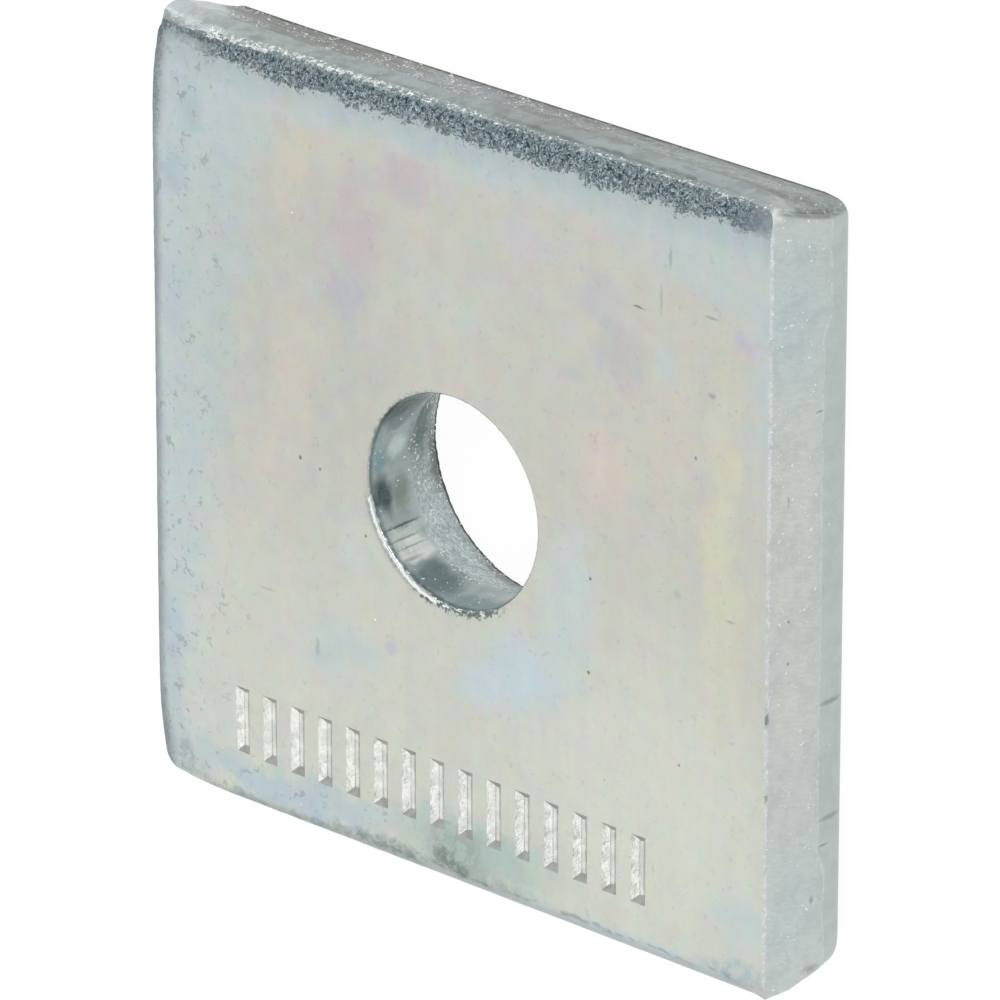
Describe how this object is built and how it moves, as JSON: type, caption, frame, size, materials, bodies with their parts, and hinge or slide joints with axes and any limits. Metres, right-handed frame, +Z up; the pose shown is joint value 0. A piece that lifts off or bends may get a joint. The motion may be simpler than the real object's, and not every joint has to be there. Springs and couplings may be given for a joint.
{
  "type": "square plate washer",
  "caption": "Thick square steel plate washer with a central punched round bore, rolled and drooped edges and sheared sides, zinc plated.",
  "frame": {"origin": "centre of the square underside, on the axis of the bore", "axes": "+Z up along the bore, out of the face that the punch entered; +X towards the side that was parted from below; +Y towards one of the two sheared sides"},
  "size_m": [0.0412, 0.0412, 0.0063],
  "materials": {
    "zinc_plated_steel": "bright zinc plating over sheared and punched steel plate, satin, pale blue grey with a faint cream cast"
  },
  "bodies": {
    "root": {"plate_washer": "zinc_plated_steel"}
  },
  "joints": []
}
